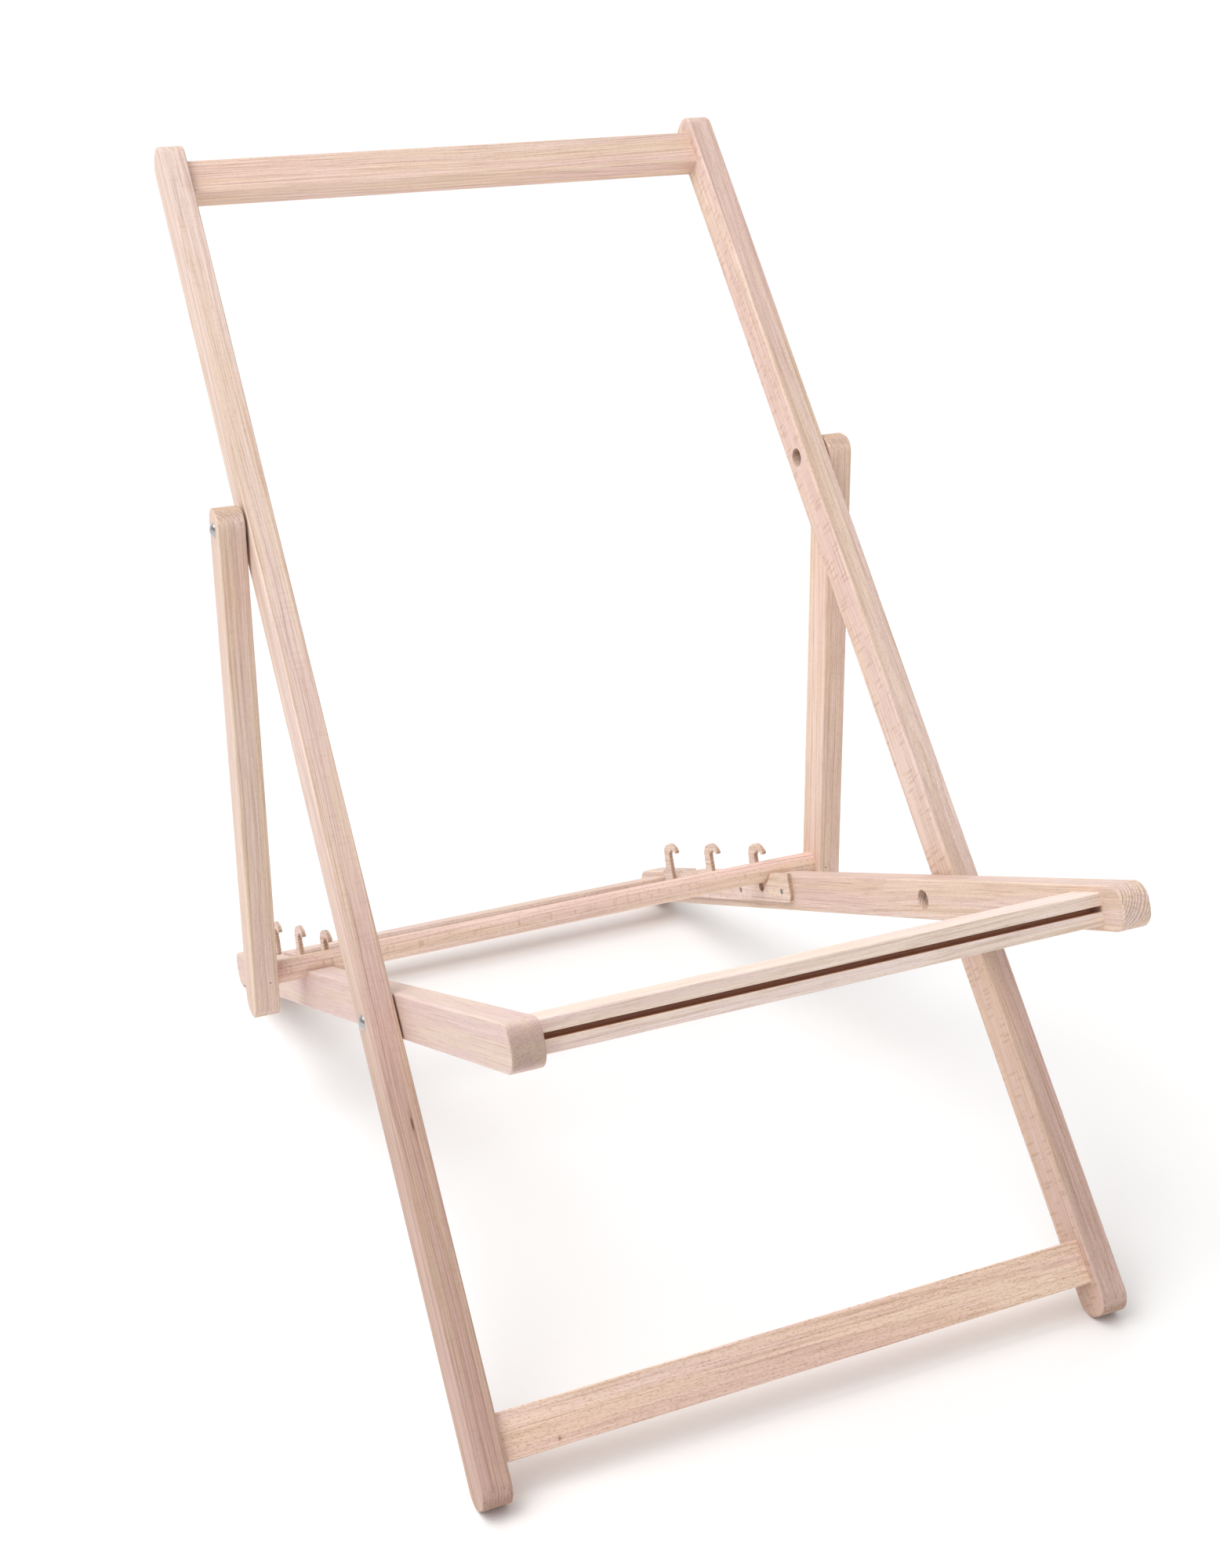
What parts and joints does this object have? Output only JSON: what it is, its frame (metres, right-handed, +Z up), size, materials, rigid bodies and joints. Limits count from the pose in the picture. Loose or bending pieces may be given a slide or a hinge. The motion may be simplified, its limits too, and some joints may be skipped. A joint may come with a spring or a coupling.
{
  "type": "folding deck chair frame",
  "caption": "Bare folding deck chair frame in beech: a long leaning back frame, a seat frame with hooked notch plates and a swinging prop frame.",
  "frame": {"origin": "on the floor, below the middle of the whole chair's box", "axes": "+X to the sitter's left, -Y to the front of the chair, +Z up"},
  "size_m": [0.5976, 0.8654, 0.8685],
  "materials": {
    "beech": "raw planed beech",
    "beech_round": "raw turned beech",
    "beech_pin": "fluted beech pin",
    "plywood": "sawn beech plywood",
    "bright_steel": "bright zinc plate",
    "dark_steel": "dull steel"
  },
  "bodies": {
    "seat_frame": {"seat_rail_right": "beech", "seat_rail_left": "beech", "hook_plate_right": "plywood", "hook_plate_left": "plywood", "hook_plate_screws": "dark_steel", "front_bar": "beech", "front_bar_pins": "beech_pin", "rear_bar": "beech", "rear_bar_pins": "beech_pin"},
    "back_frame": {"back_rail_right": "beech", "back_rail_left": "beech", "top_bar": "beech", "top_bar_pins": "beech_pin", "foot_slat": "beech", "foot_slat_pins": "beech_pin", "seat_pivot_bolts": "bright_steel", "seat_pivot_spacers": "bright_steel", "seat_pivot_washers": "bright_steel", "seat_pivot_nuts": "bright_steel"},
    "prop_frame": {"prop_leg_right": "beech", "prop_leg_left": "beech", "prop_bar": "beech_round", "prop_bar_nails": "dark_steel", "prop_pivot_bolts": "bright_steel", "prop_pivot_spacers": "bright_steel", "prop_pivot_washers": "bright_steel", "prop_pivot_nuts": "bright_steel"}
  },
  "joints": [
    {"name": "back_hinge", "type": "hinge", "parent": "seat_frame", "child": "back_frame", "pos_m": [0, -0.16456, 0.2681], "axis": [1, 0, 0], "range_deg": [0, 42]},
    {"name": "prop_hinge", "type": "hinge", "parent": "back_frame", "child": "prop_frame", "pos_m": [0, 0.12303, 0.58305], "axis": [-1, 0, 0], "range_deg": [0, 30.5]}
  ],
  "couplings": [
    {"joint": "prop_hinge", "follows": "back_hinge", "ratio": 0.72}
  ]
}
